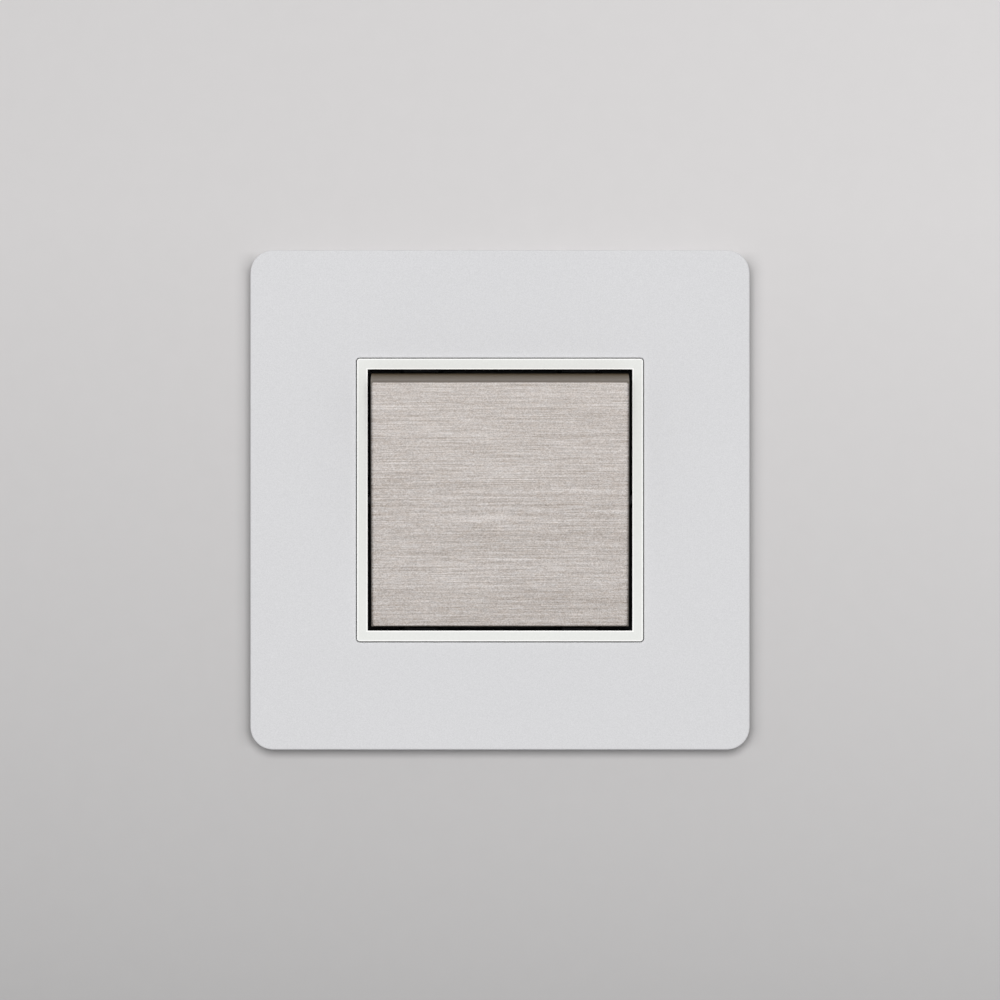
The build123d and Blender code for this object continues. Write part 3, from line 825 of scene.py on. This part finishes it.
def makeScrew(node, screw):
    # the head is the frame's own, and the shank is a helical thread of the same outer size
    low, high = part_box(node)
    towards = screw["tipTowards"]
    head, tip = (low.y, high.y) if towards > 0 else (high.y, low.y)
    under = head + towards * screw["headHeight"]
    work = roundedCopy(node, threadForm["headEdge"], cut=(under, -towards))
    addThread(work, (low + high) / 2, under - towards * threadForm["sink"], tip, screw)
    return seat(node + "_threaded", work, node)


for screw in (boxScrew, clampScrew, caseScrew):
    for node in screw["nodes"]:
        makeScrew(node, screw)
print("screws made")


spring = {
    "wireRadius": 0.21 * mm,
    "coilRadius": 1.42 * mm,
    "workingTurns": 5,
    "deadTurns": 1.0,  # closed turns at each end
    "deadRise": 2.05,  # rise of each dead turn, which lies against the next, in wire radii
    "turnSteps": 48,
    "wireSides": 10,
    "boreStart": 2.6 * mm,  # where the spring's fixed end bears, over the pivot
    "shoulder": 4.6 * mm,  # where the plunger's shoulder lies, under the pivot
}


def makeSpring():
    work = bmesh.new()
    wire, coil = spring["wireRadius"], spring["coilRadius"]
    top = spring["boreStart"] - wire
    bottom = -spring["shoulder"] + wire
    turns = spring["workingTurns"] + 2 * spring["deadTurns"]
    closing = spring["deadRise"] * wire
    opening = (top - bottom - 2 * closing * spring["deadTurns"]) / spring["workingTurns"]
    count = int(turns * spring["turnSteps"])
    rings = []
    for number in range(count + 1):
        turn = turns * number / count
        dead = min(turn, spring["deadTurns"]) + max(turn - turns + spring["deadTurns"], 0.0)
        height = bottom + closing * dead + opening * (turn - dead)
        angle = 2 * math.pi * turn
        centre = Vector((coil * math.cos(angle), coil * math.sin(angle), height))
        outward = Vector((math.cos(angle), math.sin(angle), 0))
        ring = []
        for side in range(spring["wireSides"]):
            around = 2 * math.pi * side / spring["wireSides"]
            offset = outward * (wire * math.cos(around)) + Vector((0, 0, wire * math.sin(around)))
            ring.append(work.verts.new(tiltedPanel @ (centre + offset)))
        rings.append(ring)
    skin(work, rings, capped=True)
    piece = seat("spring_coil", work, "plunger_spring", smoothFlats=False)
    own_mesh(piece)
    return piece


makeSpring()
print("spring made")


# Studio

studio = {
    "wallSize": 1.6,
    "wallCover": 0.16 * mm,  # how far the plate's rim laps over the opening in the wall
    "wallBehind": 0.03 * mm,
    # painted light: the wall is painted paler towards the top and the right, as if lit from above right
    "wallTop": linear(214, 212, 212),
    "wallBottom": linear(175, 174, 174),
    "wallCurve": 0.6,
    "wallFade": (-0.100, 0.050),  # the heights between which the wall goes from one tone to the other
    "wallSlant": 0.5,  # painted light: how much paler the wall is painted towards the right, per metre
    "wallGrain": 4 * mm,
    "wallGrainTone": 0.03,
    "wallRoughness": 0.9,
    "contactShade": 0.38,  # painted shadow: how dark the wall is painted right beside the plate, where the plate stands off it
    "contactReach": 3.4 * mm,
    "lensLength": 200.0,
    "sensorWidth": 36.0,
    "clip": (0.01, 20.0),
    "frameWidth": 176.2 * mm,  # what the picture takes in at the plate's front
    "fill": 0.33,  # daylight from all round, beside the lamps
    "horizon": 0.82,  # the sky that is seen or mirrored: level with the switch, and straight up
    "zenith": 1.2,
    "keyDistance": 1.6,
    "keyRaised": 12.0,  # degrees over the line to the camera
    "keySize": (0.92, 0.68),
    "keyPower": 18.0,
    "rearPlace": (0.0, 1.2, 0.5),
    "rearSize": (3.0, 3.0),
    "rearPower": 22.0,
}


def wallFinish():
    # pale wall, see-through from behind so that the back of the switch shows
    finish = Finish("wallPaint")
    place = finish.place()
    across, _, height = finish.axes(place)
    low, high = studio["wallFade"]
    # painted light: the wall goes from its darker bottom tone to its paler top tone
    rise = ((height - low) / (high - low)).clamped() ** studio["wallCurve"]
    grain = finish.noise(studio["wallGrain"], place, detail=3.0)
    toned = finish.blend(rise, studio["wallBottom"], studio["wallTop"])
    half = spanOf("front_plate")[0] / 2
    fromPlate = (abs(across) - half).largest(abs(height) - half)
    near = (1 - fromPlate / studio["contactReach"]).clamped()
    beside = ((half - abs(height)) / studio["contactReach"]).clamped()
    tone = 1 + grain.swayed(studio["wallGrainTone"]) + across * studio["wallSlant"]
    # painted shadow: the wall is painted darker beside the plate's sides
    shaded = finish.shade(toned, tone - near * near * beside * studio["contactShade"])
    sockets = {"Base Color": shaded, "Roughness": studio["wallRoughness"]}
    painted = finish.node("BsdfPrincipled", {}, sockets)
    clear = finish.node("BsdfTransparent")
    behind = finish.node("NewGeometry", out="Backfacing")
    shown = finish.node("MixShader", {}, {0: behind, 1: painted, 2: clear})
    finish.node("OutputMaterial", {}, {"Surface": shown})
    return finish.material


def makeWall():
    plateWidth, _, _, _ = spanOf("front_plate")
    hole = plateWidth - 2 * studio["wallCover"]
    holeRadius = plate["cornerRadius"] - studio["wallCover"]
    stations = [((side, side, holeRadius), -studio["wallBehind"]) for side in (studio["wallSize"], hole)]
    work = loft(stations, uprightPanel)
    for face in work.faces:
        face.normal_update()
        if face.normal.y > 0:
            face.normal_flip()
    mesh = bpy.data.meshes.new("wall")
    work.to_mesh(mesh)
    work.free()
    mesh.materials.append(wallFinish())
    addObject("wall", mesh)


def makeWorld():
    # an even fill for matt surfaces, and a sky that pales upwards for what is mirrored or seen
    world = bpy.data.worlds.new("studioAir")
    bpy.context.scene.world = world
    world.use_nodes = True
    finish = Finish("studioAir", world.node_tree)
    kinds = ("Camera", "Glossy", "Transmission")
    camera, glossy, through = [finish.node("LightPath", out=f"Is {kind} Ray") for kind in kinds]
    seen = camera.largest(glossy).largest(through)
    _, _, up = finish.axes(finish.node("TexCoord", out="Generated"))
    middle = (studio["zenith"] + studio["horizon"]) / 2
    sky = middle + up * (studio["zenith"] - middle)
    strength = studio["fill"] + seen * (sky - studio["fill"])
    air = finish.node("Background", {}, {"Color": (1.0, 1.0, 1.0), "Strength": strength})
    finish.node("OutputWorld", {}, {"Surface": air})


def makeLamp(name, place, size, power):
    data = bpy.data.lights.new(name, "AREA")
    data.shape = "ELLIPSE"
    data.size, data.size_y = size
    data.energy = power
    lamp = addObject(name, data)
    lamp.location = place
    lamp.rotation_mode = "QUATERNION"
    lamp.rotation_quaternion = (-Vector(place)).to_track_quat("-Z", "Y")
    lamp.visible_camera = False
    lamp.visible_glossy = False


def makeCamera():
    _, _, _, front = spanOf("front_plate")
    distance = studio["frameWidth"] * studio["lensLength"] / studio["sensorWidth"]
    data = bpy.data.cameras.new("camera")
    data.lens = studio["lensLength"]
    data.sensor_width = studio["sensorWidth"]
    data.clip_start, data.clip_end = studio["clip"]
    camera = addObject("camera", data)
    camera.location = (0, -front - distance, 0)
    camera.rotation_euler = (math.radians(90), 0, 0)
    bpy.context.scene.camera = camera


makeWall()
makeWorld()
raised = math.radians(studio["keyRaised"])
keyPlace = studio["keyDistance"] * Vector((0, -math.cos(raised), math.sin(raised)))
makeLamp("keyLamp", keyPlace, studio["keySize"], studio["keyPower"])
makeLamp("rearLamp", studio["rearPlace"], studio["rearSize"], studio["rearPower"])
makeCamera()
bpy.context.scene.view_settings.view_transform = "Standard"
print("studio made")

bpy.context.view_layer.update()
